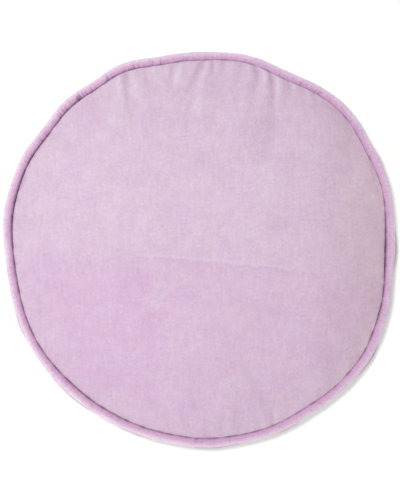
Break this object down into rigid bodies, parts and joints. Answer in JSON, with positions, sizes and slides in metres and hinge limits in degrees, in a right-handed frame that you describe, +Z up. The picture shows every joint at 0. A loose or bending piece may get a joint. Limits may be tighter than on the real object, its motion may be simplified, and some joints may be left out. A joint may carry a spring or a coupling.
{
  "type": "round cushion",
  "caption": "Round flat cushion of boxed make in pale lilac velvet, with a side strip and fat piping of the same velvet in its seams, softly puckered along its upper edge, lying on its back.",
  "frame": {"origin": "middle of the cushion's bounding box at its lowest height, on the surface it lies on", "axes": "+Z up out of the front panel; +Y towards the top of the cushion as pictured; +X to its right"},
  "size_m": [0.4374, 0.4416, 0.092],
  "materials": {
    "velvet_face": "cotton velvet with a short upright pile, pale lilac, faintly mottled by its nap",
    "velvet_piping": "the same velvet cut on the cross and drawn over a cord, so its pile parts and looks deeper"
  },
  "bodies": {
    "root": {"cushion_body": "velvet_face", "piping_front": "velvet_piping", "piping_back": "velvet_piping"}
  },
  "joints": []
}
